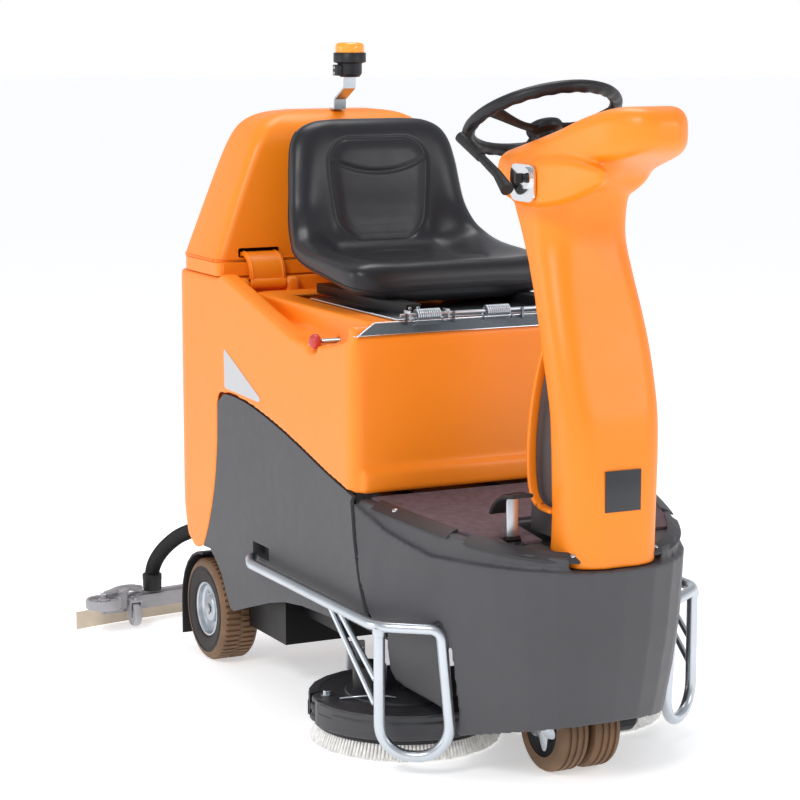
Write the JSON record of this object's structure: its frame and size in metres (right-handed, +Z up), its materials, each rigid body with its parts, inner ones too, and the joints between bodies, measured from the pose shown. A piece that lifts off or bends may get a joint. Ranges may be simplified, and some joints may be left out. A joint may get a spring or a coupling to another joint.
{
  "type": "ride-on floor scrubber",
  "caption": "Battery ride-on scrubber-drier: moulded tank body with seat and tilting lid, steering column, steered drive wheel, brush deck and lifting curved squeegee.",
  "frame": {"origin": "centre of the machine's footprint, on the floor: the middle of its width and of its length from console nose to squeegee blade", "axes": "+Z up, +Y towards the back of the machine where the squeegee is, -X towards the driver's right-hand side, where the hose and the key are"},
  "size_m": [1, 1.824, 1.3755],
  "materials": {
    "orange_shell": "satin rotomoulded",
    "grey_shell": "fine texture",
    "floor_mat": "matte",
    "seat_cover": "satin vinyl",
    "black_steel": "satin",
    "black_plastic": "satin",
    "black_rubber": "matte",
    "zinc": "zinc plated",
    "bright_chrome": "polished",
    "brown_rubber": "worn satin",
    "deck_grey": "satin",
    "bristle": "matte",
    "cast_grey": "cast, painted",
    "squeegee_rubber": "matte",
    "red_grip": "satin",
    "amber_lens": "clear amber"
  },
  "bodies": {
    "machine": {"chassis_frame": "black_steel", "rear_axle": "zinc", "battery_pack_front": "black_plastic", "battery_pack_rear": "black_plastic", "tank_body": "orange_shell", "recovery_tank": "orange_shell", "side_panel_left": "grey_shell", "side_panel_right": "grey_shell", "front_housing": "grey_shell", "foot_mat": "floor_mat", "column_shell": "orange_shell", "column_insert": "grey_shell", "key_plate": "bright_chrome", "display_panel": "black_plastic", "hinge_strip": "zinc", "hinge_rod": "zinc", "mud_flap_left": "black_rubber", "mud_flap_right": "black_rubber", "side_tube_left": "zinc", "side_tube_right": "zinc", "suction_hose": "black_rubber"},
    "lid": {"tank_lid": "orange_shell", "suction_turbine": "black_plastic", "beacon_strap": "zinc", "beacon_base": "black_plastic", "beacon_lens": "amber_lens"},
    "latch_left": {"lid_latch_left": "orange_shell"},
    "latch_right": {"lid_latch_right": "orange_shell"},
    "seat": {"seat_plate": "black_steel", "seat_cushion": "seat_cover", "seat_backrest": "seat_cover"},
    "steering": {"steering_wheel": "black_plastic", "steering_shaft": "zinc"},
    "key": {"ignition_key": "black_plastic"},
    "lever": {"drive_lever": "black_plastic"},
    "pedal": {"drive_pedal": "black_plastic"},
    "knob": {"red_knob": "red_grip"},
    "fork": {"drive_fork": "black_steel", "drive_motor": "black_plastic"},
    "drive_wheel": {"drive_tyre_left": "brown_rubber", "drive_tyre_right": "brown_rubber", "drive_hub": "zinc"},
    "rear_wheel_left": {"rear_tyre_left": "brown_rubber", "rear_hub_left": "zinc"},
    "rear_wheel_right": {"rear_tyre_right": "brown_rubber", "rear_hub_right": "zinc"},
    "deck": {"brush_deck": "deck_grey", "brush_motor_left": "black_plastic", "brush_motor_right": "black_plastic"},
    "brush_head_left": {"brush_left": "bristle"},
    "brush_head_right": {"brush_right": "bristle"},
    "roller_left": {"deflector_roller_left": "black_rubber"},
    "roller_right": {"deflector_roller_right": "black_rubber"},
    "squeegee": {"squeegee_bar": "cast_grey", "squeegee_blade": "squeegee_rubber", "hose_cuff": "black_plastic"},
    "guide_left": {"guide_wheel_left": "cast_grey"},
    "guide_right": {"guide_wheel_right": "cast_grey"},
    "castor_left": {"castor_wheel_left": "cast_grey"},
    "castor_right": {"castor_wheel_right": "cast_grey"}
  },
  "joints": [
    {"name": "lid_hinge", "type": "hinge", "parent": "machine", "child": "lid", "pos_m": [0, 0.622, 0.909], "axis": [-1, 0, 0], "range_deg": [0, 95]},
    {"name": "latch_left_hinge", "type": "hinge", "parent": "machine", "child": "latch_left", "pos_m": [0.218, 0.354, 0.858], "axis": [1, 0, 0], "range_deg": [0, 50]},
    {"name": "latch_right_hinge", "type": "hinge", "parent": "machine", "child": "latch_right", "pos_m": [-0.218, 0.354, 0.858], "axis": [1, 0, 0], "range_deg": [0, 50]},
    {"name": "seat_tilt", "type": "hinge", "parent": "machine", "child": "seat", "pos_m": [0, -0.293, 0.858], "axis": [1, 0, 0], "range_deg": [0, 55]},
    {"name": "fork_steer", "type": "hinge", "parent": "machine", "child": "fork", "pos_m": [0, -0.593, 0.2], "axis": [0, 0, 1], "range_deg": [-75, 75]},
    {"name": "wheel_turn", "type": "hinge", "parent": "machine", "child": "steering", "pos_m": [0, -0.467, 1.243], "axis": [0, 0.454, 0.891], "range_deg": [-300, 300]},
    {"name": "drive_spin", "type": "hinge", "parent": "fork", "child": "drive_wheel", "pos_m": [0, -0.593, 0.09], "axis": [1, 0, 0], "continuous": true},
    {"name": "rear_spin_left", "type": "hinge", "parent": "machine", "child": "rear_wheel_left", "pos_m": [0.283, 0.473, 0.115], "axis": [1, 0, 0], "continuous": true},
    {"name": "rear_spin_right", "type": "hinge", "parent": "machine", "child": "rear_wheel_right", "pos_m": [-0.283, 0.473, 0.115], "axis": [1, 0, 0], "continuous": true},
    {"name": "deck_lift", "type": "slide", "parent": "machine", "child": "deck", "axis": [0, 0, 1], "range_m": [0, 0.03]},
    {"name": "brush_spin_left", "type": "hinge", "parent": "deck", "child": "brush_head_left", "pos_m": [0.1915, -0.264, 0.05], "axis": [0, 0, 1], "continuous": true},
    {"name": "brush_spin_right", "type": "hinge", "parent": "deck", "child": "brush_head_right", "pos_m": [-0.1915, -0.264, 0.05], "axis": [0, 0, 1], "continuous": true},
    {"name": "roller_spin_left", "type": "hinge", "parent": "deck", "child": "roller_left", "pos_m": [0.349, -0.233, 0.064], "axis": [0, 0, 1], "continuous": true},
    {"name": "roller_spin_right", "type": "hinge", "parent": "deck", "child": "roller_right", "pos_m": [-0.349, -0.233, 0.064], "axis": [0, 0, 1], "continuous": true},
    {"name": "squeegee_lift", "type": "hinge", "parent": "machine", "child": "squeegee", "pos_m": [0, 0.519, 0.182], "axis": [1, 0, 0], "range_deg": [0, 10], "deforming": ["suction_hose"]},
    {"name": "guide_spin_left", "type": "hinge", "parent": "squeegee", "child": "guide_left", "pos_m": [0.455, 0.781, 0.075], "axis": [0, 0, 1], "continuous": true},
    {"name": "guide_spin_right", "type": "hinge", "parent": "squeegee", "child": "guide_right", "pos_m": [-0.455, 0.781, 0.075], "axis": [0, 0, 1], "continuous": true},
    {"name": "castor_spin_left", "type": "hinge", "parent": "squeegee", "child": "castor_left", "pos_m": [0.37, 0.805, 0.034], "axis": [1, 0, 0], "continuous": true},
    {"name": "castor_spin_right", "type": "hinge", "parent": "squeegee", "child": "castor_right", "pos_m": [-0.37, 0.805, 0.034], "axis": [1, 0, 0], "continuous": true},
    {"name": "key_turn", "type": "hinge", "parent": "machine", "child": "key", "pos_m": [-0.145, -0.649, 1.146], "axis": [-1, 0, 0], "range_deg": [0, 90]},
    {"name": "lever_swing", "type": "hinge", "parent": "machine", "child": "lever", "pos_m": [-0.151, -0.593, 1.13], "axis": [1, 0, 0], "range_deg": [-14, 4]},
    {"name": "pedal_press", "type": "hinge", "parent": "machine", "child": "pedal", "pos_m": [-0.155, -0.639, 0.474], "axis": [1, 0, 0], "range_deg": [0, 15], "stiffness_Nm_per_rad": 1.5, "springref_deg": -2.86},
    {"name": "knob_turn", "type": "hinge", "parent": "machine", "child": "knob", "pos_m": [-0.31, -0.123, 0.793], "axis": [-1, 0, 0], "continuous": true}
  ],
  "couplings": [
    {"joint": "wheel_turn", "follows": "fork_steer", "ratio": 4}
  ]
}
